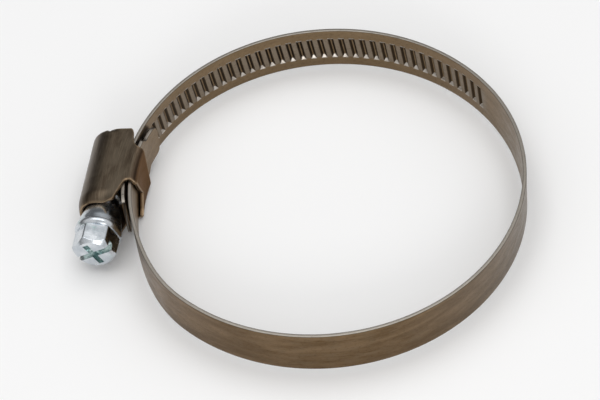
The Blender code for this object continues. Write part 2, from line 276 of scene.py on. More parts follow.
SHEET_DARK = rgb(0.085, 0.062, 0.042)
SHEET_BROWN = rgb(0.135, 0.108, 0.078)
SHEET_DRAWN = rgb(0.22, 0.175, 0.125)
SHEET_INSIDE = rgb(0.115, 0.072, 0.046)
SHEET_INSIDE_GLANCING = rgb(0.55, 0.42, 0.33)
SHEET_RIM = rgb(0.30, 0.215, 0.135)
SHEET_SPECK = rgb(0.08, 0.055, 0.035)

ZINC_TINT = rgb(0.33, 0.58, 0.52)
ZINC_WORN = rgb(0.28, 0.29, 0.30)
HEAD_ZINC = (rgb(0.50, 0.54, 0.58), rgb(0.70, 0.73, 0.76))
RECESS_ZINC = (rgb(0.42, 0.53, 0.53), rgb(0.72, 0.78, 0.77))


def band_material():
    """Cold-rolled steel strip, tarnished brown, with rolling streaks and paler cut edges.

    "strip" holds the place along the strip, the height and the side; "marks" holds the edge,
    which carries a painted dark reflection where each edge starts to round and the paler cut
    edge, a painted sheen on the land between two teeth and a painted grazing reflection over the
    grey stretch; "grooves" holds painted shade on the flanks and burnished metal with a painted
    highlight on the sloping ends.
    """
    nodes = Nodes("tarnished_band_steel")
    strip = nodes.attribute("strip")
    marks = nodes.attribute("marks")
    grooves = nodes.attribute("grooves")
    edge = nodes.part(marks, 0)
    stain = nodes.pattern(
        strip, stretch=(0.10, 0.55, 4.0), detail=5.0, roughness=0.6, distortion=0.4)
    blotch = nodes.pattern(strip, stretch=(0.35, 0.9, 3.0), detail=6.0, roughness=0.65)
    streak = nodes.pattern(strip, stretch=(0.25, 16.0, 1.0), detail=3.0, roughness=0.6)
    speck = nodes.pattern(strip, stretch=(1.5, 2.1, 3.0), detail=6.0, roughness=0.7)
    grain = nodes.pattern(strip, stretch=(1.2, 40.0, 1.0), detail=2.0, roughness=0.5)

    colour = nodes.mix(nodes.span(stain, low=0.38, high=0.64), STRIP_DARK, STRIP_BROWN)
    colour = nodes.mix(nodes.span(blotch, low=0.42, high=0.72, to_high=0.7), colour, STRIP_BLOTCH)
    colour = nodes.mix(nodes.span(streak, low=0.35, high=0.75, to_high=0.35), colour, STRIP_STREAK)
    # painted grazing reflection over the ring's right side
    colour = nodes.mix(nodes.part(marks, 2), colour, STRIP_GRAZING_REFLECTION)
    inner = nodes.span(nodes.part(strip, 2), low=-1.0, high=0.0, to_low=1.0, to_high=0.0)
    colour = nodes.mix(nodes.math("MULTIPLY", inner, INNER_SHARE), colour, STRIP_INNER)
    # painted sheen on the land between two teeth
    colour = nodes.mix(nodes.part(marks, 1), colour, STRIP_LAND_SHEEN)
    # painted shade in the grooves' flanks
    flank_shade = nodes.math("MULTIPLY", nodes.part(grooves, 0), FLANK_SHADE_SHARE)
    colour = nodes.mix(flank_shade, colour, STRIP_FLANK_SHADE)
    # burnished metal with a painted highlight on the teeth's sloping ends
    uneven = nodes.span(blotch, low=0.3, high=0.6, to_low=0.45)
    burnish_and_highlight = nodes.math("MULTIPLY", nodes.part(grooves, 1), uneven)
    colour = nodes.mix(burnish_and_highlight, colour, STRIP_BURNISH_AND_HIGHLIGHT)
    # painted dark reflection where each edge starts to round
    colour = nodes.mix(nodes.span(edge, low=0.0, high=0.45), colour, STRIP_EDGE_SHADE)
    colour = nodes.mix(nodes.span(edge, low=0.55, high=0.93), colour, STRIP_CUT_EDGE)
    colour = nodes.mix(nodes.span(speck, low=0.48, high=0.72, to_high=0.42), colour, STRIP_SPECK)
    nodes.link(colour, nodes.shader.inputs["Base Color"])
    nodes.shader.inputs["Metallic"].default_value = 1.0
    blotch_rough = nodes.span(blotch, low=0.3, high=0.75, to_low=0.30, to_high=0.48)
    streak_rough = nodes.span(streak, low=0.3, high=0.8, to_low=-0.04, to_high=0.05)
    nodes.link(nodes.math("ADD", blotch_rough, streak_rough), nodes.shader.inputs["Roughness"])
    fine = nodes.bump(grain, strength=0.25, distance=0.02 * MM)
    dents = nodes.bump(blotch, strength=0.3, distance=0.06 * MM, normal=fine)
    nodes.link(dents, nodes.shader.inputs["Normal"])
    return nodes.material


def housing_material():
    """Pressed steel sheet, satin and stained, with a burnished rim where it was cut and curled.

    "sheet" holds the place round the housing, along it and which skin; "marks" holds the rim
    and the browner steel of the inside and of the saddle.
    """
    nodes = Nodes("stained_housing_steel")
    sheet = nodes.attribute("sheet")
    marks = nodes.attribute("marks")
    rim = nodes.part(marks, 0)
    inside = nodes.part(marks, 1)
    stain = nodes.pattern(
        sheet, stretch=(0.22, 0.16, 1.0), detail=5.0, roughness=0.6, distortion=0.5)
    draw = nodes.pattern(sheet, stretch=(3.0, 0.25, 1.0), detail=4.0, roughness=0.6)
    speck = nodes.pattern(sheet, stretch=(2.4, 2.4, 1.0), detail=3.0, roughness=0.6)

    colour = nodes.mix(nodes.span(stain, low=0.36, high=0.66), SHEET_DARK, SHEET_BROWN)
    colour = nodes.mix(nodes.span(draw, low=0.4, high=0.75, to_high=0.5), colour, SHEET_DRAWN)
    colour = nodes.mix(inside, colour, SHEET_INSIDE)
    colour = nodes.mix(rim, colour, SHEET_RIM)
    colour = nodes.mix(nodes.span(speck, low=0.6, high=0.78, to_high=0.35), colour, SHEET_SPECK)
    nodes.link(colour, nodes.shader.inputs["Base Color"])
    nodes.shader.inputs["Metallic"].default_value = 1.0
    glancing = nodes.mix(inside, WHITE, SHEET_INSIDE_GLANCING)
    nodes.link(glancing, nodes.shader.inputs["Specular Tint"])
    rough = nodes.span(stain, low=0.3, high=0.75, to_low=0.30, to_high=0.46)
    nodes.link(rough, nodes.shader.inputs["Roughness"])
    fine = nodes.bump(draw, strength=0.25, distance=0.03 * MM)
    pits = nodes.bump(speck, strength=0.25, distance=0.03 * MM, normal=fine)
    nodes.link(pits, nodes.shader.inputs["Normal"])
    return nodes.material


def zinc_material(name, low, high):
    """Zinc plating, clear passivated: silver with a faint blue and green tint in places."""
    nodes = Nodes(name)
    place = nodes.place()
    cloud = nodes.noise(place, scale=420.0, detail=4.0, roughness=0.6)
    tint = nodes.noise(place, scale=260.0, detail=2.0, roughness=0.5, distortion=0.8)
    speck = nodes.noise(place, scale=2600.0, detail=3.0, roughness=0.6)
    colour = nodes.mix(nodes.span(cloud, low=0.35, high=0.7), low, high)
    colour = nodes.mix(nodes.span(tint, low=0.58, high=0.75, to_high=0.55), colour, ZINC_TINT)
    colour = nodes.mix(nodes.span(speck, low=0.6, high=0.8, to_high=0.5), colour, ZINC_WORN)
    nodes.link(colour, nodes.shader.inputs["Base Color"])
    nodes.shader.inputs["Metallic"].default_value = 1.0
    rough = nodes.span(cloud, low=0.3, high=0.75, to_low=0.16, to_high=0.32)
    nodes.link(rough, nodes.shader.inputs["Roughness"])
    pits = nodes.bump(speck, strength=0.2, distance=0.02 * MM)
    nodes.link(pits, nodes.shader.inputs["Normal"])
    return nodes.material


# Band ---------------------------------------------------------------------------------------

PLAIN_STEP_DEG = 0.75
THREAD_LEAD_DEG = 4.0  # where the plain strip's steps stop, ahead of the first tooth
TAIL_PLAIN_DEG = 1.6  # plain strip left after the last tooth
TAIL_LEAD_DEG = 0.7
TAIL_STEPS = 6
TAIL_LAST_STEPS_DEG = (0.05, 0.02)
FACE_CORNER_STEPS = 4
ROW_COUNTS = (4, 13, 5)  # rows of points in the middle, over a tooth's end and beyond it
ROWS_OVER_END = (-0.25, 1.25)  # in shares of the ramp, inwards from the tooth's end
MIDDLE_ROWS_END = 1.5
BEYOND_ROWS_START = 0.4  # the same, outwards
CORNER_SHARPNESS = 0.5
SMALL_ANGLE_DEG = 1e-6
MERGE_WIDTH = 0.006  # how softly two slopes of a tooth meet
FLOOR_WIDTH = 0.004  # how softly a tooth's foot meets the strip
LAND_START = 0.45  # share of the half pitch where the land between two teeth begins
# share of the painted sheen on the lands
LAND_SHEEN_TONE = 0.75
LAND_BLUR = 0.2
LAND_END_BLUR = 0.3 * MM
# painted grazing reflection over the ring's right side
GRAZING_REFLECTION_TONE = 0.6
GREY_START_DEG, GREY_RISE_DEG = 287.0, 80.0
GREY_END_DEG, GREY_FALL_DEG = 402.0, 30.0
FLANK_INNER = (0.08, 0.12)  # where the painted flank shade begins and over how far, in millimetres
FLANK_OUTER = (0.60, 0.10)  # where the painted flank shade ends, likewise
FLANK_END_BLUR = 0.3
RAMP_SIDE_BLUR = 0.3
RAMP_TOP_BLUR = 0.2
RAMP_FOOT_BLUR = 0.15


def fixed_layer_radius(degrees):
    span = RING_LAYER_START_DEG - FIXED_LAYER_END_DEG
    return RING_MID_RADIUS - LAYER_STEP * (1.0 - smooth((degrees - FIXED_LAYER_END_DEG) / span))


def ring_radius(degrees):
    return RING_MID_RADIUS


def rounded_end(distance, corner):
    """How far a strip's side is drawn in at a distance from its end, for a round corner."""
    short = corner - min(distance, corner)
    return corner - math.sqrt(corner * corner - short * short)


def full_width(degrees):
    return BAND_WIDTH


def tongue_width(degrees):
    widening = smooth((degrees - TONGUE_SHOULDER_DEG) / SHOULDER_LENGTH_DEG)
    width = TONGUE_WIDTH + (BAND_WIDTH - TONGUE_WIDTH) * widening
    tip = math.radians(degrees - TONGUE_TIP_DEG) * RING_MID_RADIUS
    return width - 2 * rounded_end(tip, TONGUE_CORNER)


def tail_width(degrees):
    tip = math.radians(TAIL_END_DEG - degrees) * RING_MID_RADIUS
    return BAND_WIDTH - 2 * rounded_end(tip, TAIL_CORNER)


def face_rows():
    """Shares of the half width where the strip's faces have points, denser at the tooth ends."""
    half = BAND_WIDTH / 2
    tooth = TOOTH_LENGTH / 2
    in_middle, over_end, beyond = ROW_COUNTS
    ends = [tooth - TOOTH_RAMP * share for share in np.linspace(*ROWS_OVER_END, over_end)]
    middle = list(np.linspace(0.0, tooth - MIDDLE_ROWS_END * TOOTH_RAMP, in_middle))
    outer_start = tooth + BEYOND_ROWS_START * TOOTH_RAMP
    outer = list(np.linspace(outer_start, half - EDGE_ROUNDING, beyond))
    heights = sorted(middle + ends + outer)
    below = [-height / half for height in reversed(heights[1:])]
    return below + [height / half for height in heights]


FACE_ROWS = face_rows()


def strip_section(width):
    """The strip's outline as (height, offset outwards, mark for the edge), one closed loop."""
    half = width / 2
    side = BAND_THICKNESS / 2
    flat = side - EDGE_ROUNDING
    limit = (BAND_WIDTH / 2 - EDGE_ROUNDING) / (BAND_WIDTH / 2)
    rows = [share / limit * (half - EDGE_ROUNDING) for share in FACE_ROWS]
    outer = [(height, side, 0.0) for height in rows]
    top = []
    for step in range(1, 2 * FACE_CORNER_STEPS):
        angle = math.radians(90.0 * step / FACE_CORNER_STEPS)
        centre = flat if step <= FACE_CORNER_STEPS else -flat
        lean = centre + EDGE_ROUNDING * math.cos(angle)
        mark = math.sin(angle) ** CORNER_SHARPNESS
        top.append((half - EDGE_ROUNDING + EDGE_ROUNDING * math.sin(angle), lean, mark))
        if step == FACE_CORNER_STEPS:
            top.append((half, -flat, 1.0))
    inner = [(height, -side, 0.0) for height in reversed(rows)]
    bottom = [(-height, offset, mark) for height, offset, mark in reversed(top)]
    return outer + top + inner + bottom


def soft_min(first, second):
    return 0.5 * (first + second - math.sqrt((first - second) ** 2 + MERGE_WIDTH))


def tooth_slopes(place, height):
    """How far up a tooth's flank and up its end ramp a point is, as shares of each slope."""
    beside = (TOOTH_HALF_WIDTH - abs(place)) / (TOOTH_HALF_WIDTH - TOOTH_HALF_FLAT)
    end = (TOOTH_LENGTH / 2 - abs(height)) / TOOTH_RAMP
    return beside, end


def tooth_lift(place, height):
    """How far the strip is pressed outwards at a place from a tooth's middle and a height."""
    beside, end = tooth_slopes(place, height)
    share = soft_min(soft_min(beside, end), 1.0)
    share = 0.5 * (share + math.sqrt(share * share + FLOOR_WIDTH))
    land = smooth((abs(place) / (PITCH / 2) - LAND_START) / (1.0 - LAND_START))
    return TOOTH_HEIGHT * min(share, 1.0) - LAND_CROWN * land * smooth(end)


def groove_marks(place, height):
    """Painted shade on a groove's flanks and burnished metal with a painted highlight on its
    sloping ends, each from 0 to 1.
    """
    beside, end = tooth_slopes(place, height)
    ramp = smooth((beside - end) / RAMP_SIDE_BLUR + 0.5)
    ramp *= smooth((1.0 - end) / RAMP_TOP_BLUR)
    ramp *= smooth(end / RAMP_FOOT_BLUR + 1.0)
    flank = smooth((abs(place) / MM - FLANK_INNER[0]) / FLANK_INNER[1])
    flank *= smooth((FLANK_OUTER[0] - abs(place) / MM) / FLANK_OUTER[1])
    return flank * smooth(end / FLANK_END_BLUR) * (1.0 - ramp), ramp


# Places over one tooth, as shares of the half pitch
TOOTH_STATIONS = (-0.78, -0.66, -0.6, -0.54, -0.42, -0.3, -0.18, -0.1, 0.0,
                  0.1, 0.18, 0.3, 0.42, 0.54, 0.6, 0.66, 0.78, 1.0)


def plain_stations(start, end):
    count = max(2, round((end - start) / PLAIN_STEP_DEG))
    return [(degrees, None, 0.0) for degrees in np.linspace(start, end, count + 1)]


def stations(start, end, threaded):
    """Places along a stretch as (degrees, nearest tooth in degrees or None, slant)."""
    if not threaded:
        return plain_stations(start, end)
    plain_end = min(end, THREAD_START_DEG - THREAD_LEAD_DEG)
    made = plain_stations(start, plain_end) if start < plain_end else [(start, None, TOOTH_SLANT)]
    step = degrees_of(PITCH)
    first = math.ceil((max(start, plain_end) - THREAD_START_DEG) / step)
    tooth = THREAD_START_DEG + max(first, 0) * step
    last_place = TAIL_END_DEG - TAIL_PLAIN_DEG
    while tooth + step / 2 < min(end, last_place) + SMALL_ANGLE_DEG:
        made += [(tooth + share * step / 2, tooth, TOOTH_SLANT) for share in TOOTH_STATIONS]
        tooth += step
    if end < last_place:
        return made
    before_last, last = TAIL_LAST_STEPS_DEG
    run_out = np.linspace(made[-1][0] + TAIL_LEAD_DEG, end - before_last, TAIL_STEPS)
    made += [(degrees, None, 0.0) for degrees in run_out]
    return made + [(end - last, None, 0.0), (end, None, 0.0)]


def seam(degrees):
    """The nearest place midway between two teeth."""
    step = degrees_of(PITCH)
    return THREAD_START_DEG + (math.floor((degrees - THREAD_START_DEG) / step) + 0.5) * step


def strip_point(station, section_point, radius_at):
    """One point of the strip, with the rows that its material reads."""
    degrees, tooth, slant = station
    height, offset, edge = section_point
    place = degrees + degrees_of(slant * height)
    lift = 0.0
    land = 0.0
    groove = (0.0, 0.0)
    if tooth is not None:
        beside = math.radians(degrees - tooth) * RING_MID_RADIUS
        lift = tooth_lift(beside, height)
        # painted shade on the flanks and a painted highlight on the ends, inner face only
        if offset < 0.0 and edge == 0.0:
            groove = groove_marks(beside, height)
        # painted sheen on the land between two teeth
        land = smooth((TOOTH_LENGTH / 2 - abs(height)) / LAND_END_BLUR)
        land *= smooth((abs(beside) / (PITCH / 2) - LAND_START) / LAND_BLUR)
    # painted grazing reflection over the ring's right side
    grey = smooth((place - GREY_START_DEG) / GREY_RISE_DEG)
    grey *= smooth((GREY_END_DEG - place) / GREY_FALL_DEG)
    along = math.radians(place) * RING_MID_RADIUS / MM
    side = (1.0 if offset > 0 else -1.0) + edge
    rows = {
        "strip": (along, height / MM, side),
        "marks": (edge, LAND_SHEEN_TONE * land, GRAZING_REFLECTION_TONE * grey),
        "grooves": (*groove, 0.0),
    }
    return on_ring(radius_at(place) + offset + lift, place, height), rows


def band_piece(name, start, end, radius_at, width_at, threaded, material):
    bm = bmesh.new()
    rings = []
    kept_rows = {"strip": [], "marks": [], "grooves": []}
    for station in stations(start, end, threaded):
        ring = []
        for section_point in strip_section(width_at(station[0])):
            point, rows = strip_point(station, section_point, radius_at)
            ring.append(bm.verts.new(point))
            for attribute, row in rows.items():
                kept_rows[attribute].append(row)
        rings.append(ring)
    loop_faces(bm, rings, closed=False)
    cap_ends(bm, rings)
    piece = finish_piece(name, bm, material)
    for attribute, rows in kept_rows.items():
        store(piece, attribute, rows)
    return piece


def make_band():
    material = band_material()
    seam_back = seam(SEAM_BACK_DEG)
    seam_tail = seam(SEAM_TAIL_DEG)

    fixed = band_piece("band_fixed_tongue", TONGUE_TIP_DEG, SEAM_FIXED_DEG,
                       fixed_layer_radius, tongue_width, False, material)
    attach(fixed, "clamp_base")
    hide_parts("band_fixed_end")

    front = band_piece("band_front", SEAM_FIXED_DEG, SEAM_FRONT_DEG,
                       fixed_layer_radius, full_width, False, material)
    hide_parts("band_front_stretch")
    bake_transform(front)

    right = band_piece("band_right", SEAM_FRONT_DEG, seam_back,
                       ring_radius, full_width, True, material)
    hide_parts("band_back_stretch")
    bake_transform(right)

    back = band_piece("band_back", seam_back, seam_tail,
                      ring_radius, full_width, True, material)
    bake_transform(back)

    tail = band_piece("band_threaded_tail", seam_tail, TAIL_END_DEG,
                      ring_radius, tail_width, True, material)
    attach(tail, "threaded_end")
    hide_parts("band_threaded_end")


# Housing ------------------------------------------------------------------------------------

SHEET_HALF = 0.325 * MM
TUBE_AXIS_OUT = 38.6 * MM
TUBE_MID_RADIUS = 4.9 * MM - SHEET_HALF
WALL_MID_UP = 5.4 * MM - SHEET_HALF
FLARE_DEG = 6.1
FLOOR_MID_RADIUS = 33.3 * MM
CORNER_RADIUS = 0.9 * MM
HOUSING_FRONT = -8.12 * MM
HOUSING_BACK = 8.78 * MM
BACK_BEND_RADIUS = 0.5 * MM
FRONT_LIP_LEG = 0.0
FRONT_BEND_RADIUS = 1.3 * MM
FRONT_BEND = 0.55  # share of a full quarter turn
FRONT_BEND_FADE = 0.5  # how much flatter the front lip is on the tube's outermost line
FRONT_LIP_RISE = 2.2 * MM
BACK_LIP_LEG = 1.8 * MM
BACK_LEG_START = 0.6  # share of the back's full turn from which its lip has a straight leg
BACK_LIP_RISE = 2.5 * MM
LIP_END_OUT = 36.5 * MM
BACK_CURL_OUT = 38.0 * MM
LIP_LEG_LEAST = 0.1 * MM
LIP_TURN_LEAST = 0.001
FRONT_ARCH = (  # the walls' front edge as (out, along) in millimetres
    (33.4, -3.9), (34.0, -3.55), (34.6, -3.45), (35.0, -3.6), (35.4, -4.1), (35.65, -4.8),
    (35.8, -5.3), (36.2, -6.1), (36.5, -7.0), (36.8, -8.12),
)
BACK_NOTCH = (  # the walls' back edge, likewise
    (33.2, 3.8), (33.8, 3.9), (34.3, 4.2), (34.8, 4.7), (35.2, 5.3), (35.5, 6.0), (35.65, 6.8),
    (35.8, 7.5), (36.05, 8.1), (36.4, 8.5), (36.8, 8.7), (37.2, 8.78),
)
ALONG_STEPS = 70
LINE_BLUR = np.linspace(-0.2, 0.2, 9)
LIP_STEPS = 6
FLOOR_FRONT = (  # the floor's front edge as (up, along)
    (-5.4, -4.3), (-3.4, -2.2), (-1.8, -0.6), (0.6, -1.9), (3.4, -3.1), (5.4, -3.5),
)
SECTION_PARTS = (  # parts of the housing's section in order, with the points on each
    ("tube", 49), ("low_wall", 27), ("low_corner", 9), ("floor", 33), ("high_corner", 9),
    ("high_wall", 27),
)
TANGENT_STEP = 0.01
SAMPLE_LINE, SAMPLE_PLACE = 24, 30  # a point on the tube's outermost line


def section_points():
    """The housing's section as (part, position within the part from 0 to 1), a closed loop."""
    made = [(SECTION_PARTS[0][0], 0.0)]
    for part, count in SECTION_PARTS:
        made += [(part, share) for share in np.linspace(0.0, 1.0, count)[1:]]
    return made[:-1]


def section_at(part, share, along):
    """(out, up) of the sheet's middle."""
    floor = math.sqrt(FLOOR_MID_RADIUS ** 2 - along ** 2)
    corner_out = floor + CORNER_RADIUS
    corner_up = WALL_MID_UP - CORNER_RADIUS
    sign = 1.0 if part.startswith("high") else -1.0
    if part == "tube":
        angle = math.radians((90.0 - FLARE_DEG) * (1.0 - 2.0 * share))
        return TUBE_AXIS_OUT + TUBE_MID_RADIUS * math.cos(angle), TUBE_MID_RADIUS * math.sin(angle)
    if part.endswith("wall"):
        down = share if sign < 0 else 1.0 - share
        flare = math.radians(FLARE_DEG)
        start_out = TUBE_AXIS_OUT + TUBE_MID_RADIUS * math.sin(flare)
        start_up = TUBE_MID_RADIUS * math.cos(flare)
        return (start_out + (corner_out - start_out) * down,
                sign * (start_up + (WALL_MID_UP - start_up) * down))
    if part.endswith("corner"):
        turn = share if sign < 0 else 1.0 - share
        angle = math.radians(90.0 + 90.0 * turn)
        return (corner_out + CORNER_RADIUS * math.cos(angle),
                sign * (corner_up + CORNER_RADIUS * math.sin(angle)))
    return floor, -corner_up + 2 * corner_up * share


def line_at(points, place):
    """Value of a broken line at a place, all in millimetres, smoothed over a short stretch."""
    places, values = np.array(points).T
    return float(np.mean(np.interp(place / MM + LINE_BLUR, places, values))) * MM


def front_edge(part, out, up):
    """Place of the sheet's front edge: the lip, the arch over the band and the floor."""
    if part == "floor":
        return line_at(FLOOR_FRONT, up)
    return max(line_at(FRONT_ARCH, out), HOUSING_FRONT + SHEET_HALF)


def back_edge(out):
    return min(line_at(BACK_NOTCH, out), HOUSING_BACK - SHEET_HALF)


def lip_path(edge, direction, turn, leg, bend_radius):
    """Places (along, inward) of a lip turned inwards, from its edge to where the bend starts.

    The bend keeps its length at any turn from 0 to 1, so a flat lip has the same points.
    """
    arc = bend_radius * math.pi / 2
    angle = math.radians(90.0) * max(turn, LIP_TURN_LEAST)
    radius = arc / angle
    length = leg + LIP_LEG_LEAST
    bend = edge - direction * (radius * math.sin(angle) + length * math.cos(angle))
    path = []
    for step in range(LIP_STEPS):
        rest = length * (1.0 - step / LIP_STEPS)
        path.append((
            bend + direction * (radius * math.sin(angle) + rest * math.cos(angle)),
            radius * (1.0 - math.cos(angle)) + rest * math.sin(angle),
        ))
    for step in range(LIP_STEPS, 0, -1):
        turned = angle * step / LIP_STEPS
        path.append((
            bend + direction * radius * math.sin(turned),
            radius * (1.0 - math.cos(turned)),
        ))
    return bend, path


def housing_line(part, share):
    """Places (along, inward) on one line of the sheet from its front edge to its back edge."""
    out, up = section_at(part, share, 0.0)
    turned = FRONT_BEND * smooth((out - LIP_END_OUT) / FRONT_LIP_RISE)
    turned *= 1.0 - FRONT_BEND_FADE * smooth((out - TUBE_AXIS_OUT) / TUBE_MID_RADIUS)
    curled = smooth((out - BACK_CURL_OUT) / BACK_LIP_RISE)
    leg = BACK_LIP_LEG * smooth((curled - BACK_LEG_START) / (1.0 - BACK_LEG_START))
    edge = front_edge(part, out, up)
    front, start = lip_path(edge, -1.0, turned, FRONT_LIP_LEG, FRONT_BEND_RADIUS)
    back, end = lip_path(back_edge(out), 1.0, curled, leg, BACK_BEND_RADIUS)
    middle = [(along, 0.0) for along in np.linspace(front, back, ALONG_STEPS)]
    return start + middle + list(reversed(end))


def sheet_grid():
    """Points of the sheet's middle and the unit directions out of it, as arrays."""
    lines = []
    for part, share in section_points():
        line = []
        for along, inward in housing_line(part, share):
            out, up = section_at(part, share, along)
            ahead = section_at(part, min(share + TANGENT_STEP, 1.0), along)
            behind = section_at(part, max(share - TANGENT_STEP, 0.0), along)
            tangent = Vector((ahead[0] - behind[0], ahead[1] - behind[1])).normalized()
            outwards = Vector((-tangent.y, tangent.x))
            line.append((out - inward * outwards.x, along, up - inward * outwards.y))
        lines.append(line)
    points = np.array(lines)
    across = np.roll(points, -1, axis=0) - np.roll(points, 1, axis=0)
    down = np.gradient(points, axis=1)
    normals = np.cross(across, down)
    normals /= np.linalg.norm(normals, axis=2, keepdims=True)
    sample = (SAMPLE_LINE, SAMPLE_PLACE)
    if np.sum(normals[sample] * (points[sample] - points.mean(axis=(0, 1)))) < 0:
        normals = -normals
    return points, normals


# The rounded cut edge, as shares of the sheet's half thickness and of its reach
RIM = ((0.97, 0.35), (0.75, 0.8), (0.3, 1.0), (-0.3, 1.0), (-0.75, 0.8), (-0.97, 0.35))
RIM_REACH = 0.16 * MM
RIM_GLOW = 0.5  # how far the edge's burnish shows on the outer skin
RIM_GLOW_WIDTH = 0.35  # in millimetres, as is every distance along the sheet
INSIDE_TONE = 0.85
LINE_SPACING = 0.28  # from one line of the sheet to the next, as its material reads it


def unit(vector):
    return vector / np.linalg.norm(vector)


def sheet_outline(line, outwards):
    """Both skins and both rims of one line, as (point, distance, share inside, rim)."""
    steps = np.linalg.norm(np.diff(line, axis=0), axis=1)
    walk = np.concatenate([[0.0], np.cumsum(steps)]) / MM
    length = walk[-1]
    made = []
    for point, normal, distance in zip(line, outwards, walk):
        saddle = 1.0 - smooth((point[0] - FLOOR_MID_RADIUS) / CORNER_RADIUS)
        glow = RIM_GLOW * (1.0 - smooth(min(distance, length - distance) / RIM_GLOW_WIDTH))
        made.append((point + normal * SHEET_HALF, distance, saddle, glow))
    for offset, reach in RIM:
        past = unit(line[-1] - line[-2]) * (RIM_REACH * reach)
        made.append((line[-1] + outwards[-1] * (SHEET_HALF * offset) + past, length, 0.0, 1.0))
    for point, normal, distance in zip(line[::-1], outwards[::-1], walk[::-1]):
        made.append((point - normal * SHEET_HALF, distance, 1.0, 0.0))
    for offset, reach in RIM:
        past = unit(line[0] - line[1]) * (RIM_REACH * reach)
        made.append((line[0] - outwards[0] * (SHEET_HALF * offset) + past, 0.0, 0.0, 1.0))
    return made


def make_housing():
    """Pressed sheet: both skins of the sheet and a rounded rim along each cut edge."""
    bm = bmesh.new()
    rings = []
    sheet = []
    marks = []
    for line, outwards in zip(*sheet_grid()):
        ring = []
        for point, distance, inside, rim in sheet_outline(line, outwards):
            ring.append(bm.verts.new(from_housing(*point)))
            sheet.append((len(rings) * LINE_SPACING, distance, inside))
            marks.append((rim, INSIDE_TONE * inside, 0.0))
        rings.append(ring)
    loop_faces(bm, rings, closed=True)
    piece = finish_piece("housing_sheet", bm, housing_material())
    store(piece, "sheet", sheet)
    store(piece, "marks", marks)
    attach(piece, "clamp_base")
    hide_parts("housing")


# Screw --------------------------------------------------------------------------------------

SCREW_FRONT = -16.72 * MM
END_FACE_RADIUS = 3.1 * MM
HEX_ACROSS_FLATS = 7.0 * MM
HEX_TURN_DEG = 37.0
HEX_BACK = -12.62 * MM
HEX_HALF_SECTOR_DEG = 30.0
HEX_CORNER_BLUNT = 0.07 * MM
HEX_FOOT_RADIUS = 3.72 * MM
HEX_FOOT_SLOPE = 1.8
CHAMFER_SLOPE = 1.15
CHAMFER_START = 0.05 * MM  # behind the end face, as are the next two
CHAMFER_END = 0.9 * MM
BODY_START = 1.0 * MM
FOOT_LENGTH = 0.3 * MM
BODY_GAP = 0.05 * MM
END_FACE_EDGE = ((0.0, 0.12), (0.02, 0.03))  # (behind the face, in from its radius), mm
CHAMFER_STEPS = 18
BODY_STEPS = 10
FOOT_STEPS = 8
FLANGE_AND_NECK = (  # turned lines as (along, radius) in millimetres
    (-12.59, 3.78), (-12.52, 3.86), (-12.22, 4.12), (-12.14, 4.17), (-12.02, 4.2), (-11.62, 4.2),
    (-11.52, 4.17), (-11.44, 4.1), (-11.36, 4.0), (-11.32, 3.92), (-11.2, 3.9), (-10.5, 3.89),
    (-10.2, 3.85), (-9.9, 3.8), (-6.85, 3.16), (-6.75, 3.1), (-6.72, 2.3),
)
JOURNAL = ((7.38, 2.3), (7.38, 2.7), (7.44, 2.8), (7.68, 2.8), (7.73, 2.74))
THREAD_FRONT = -5.72 * MM
THREAD_BACK = 7.28 * MM
CORE_RADIUS = 2.3 * MM
CREST_RADIUS = 2.95 * MM
THREAD_HALF_FOOT = 0.32  # shares of the pitch
THREAD_FLANK = 0.2
THREAD_RUNOUT = 0.5
THREAD_STEPS = 141
SCREW_SEGMENTS = 144
SCREW_SHARP_DEG = 28.0
SLOT_WIDTH = 1.1 * MM
SLOT_DEPTH = 1.6 * MM
SLOT_RISE = 1.0 * MM  # how far a cutter stands out of the end face
SLOT_ROUND_DEG = range(15, 166, 15)
SLOTS = ((152.0, 7.6 * MM), (62.0, 5.0 * MM))  # turn in degrees, length
HOUSING_DEG = 540.0


def hexagon_radius(degrees):
    half = HEX_HALF_SECTOR_DEG
    sector = (degrees - HEX_TURN_DEG + half) % (2 * half) - half
    flat = HEX_ACROSS_FLATS / 2 / math.cos(math.radians(sector))
    return min(flat, HEX_ACROSS_FLATS / 2 / math.cos(math.radians(half)) - HEX_CORNER_BLUNT)


def worm_phase():
    """Place of the worm's crest within one pitch, midway between two of the band's teeth."""
    step = degrees_of(PITCH)
    tooth = RING_MID_RADIUS * math.radians((HOUSING_DEG - THREAD_START_DEG) % step)
    return ((tooth - PITCH / 2) / PITCH - 0.5) % 1.0


def thread_radius(along, degrees):
    phase = (along / PITCH - degrees / 360.0 - worm_phase() + 0.5) % 1.0 - 0.5
    crest = min(max((THREAD_HALF_FOOT - abs(phase)) / THREAD_FLANK, 0.0), 1.0)
    from_end = min(along - THREAD_FRONT, THREAD_BACK - along)
    runout = min(max(from_end / (THREAD_RUNOUT * PITCH), 0.0), 1.0)
    return CORE_RADIUS + (CREST_RADIUS - CORE_RADIUS) * smooth(crest) * runout


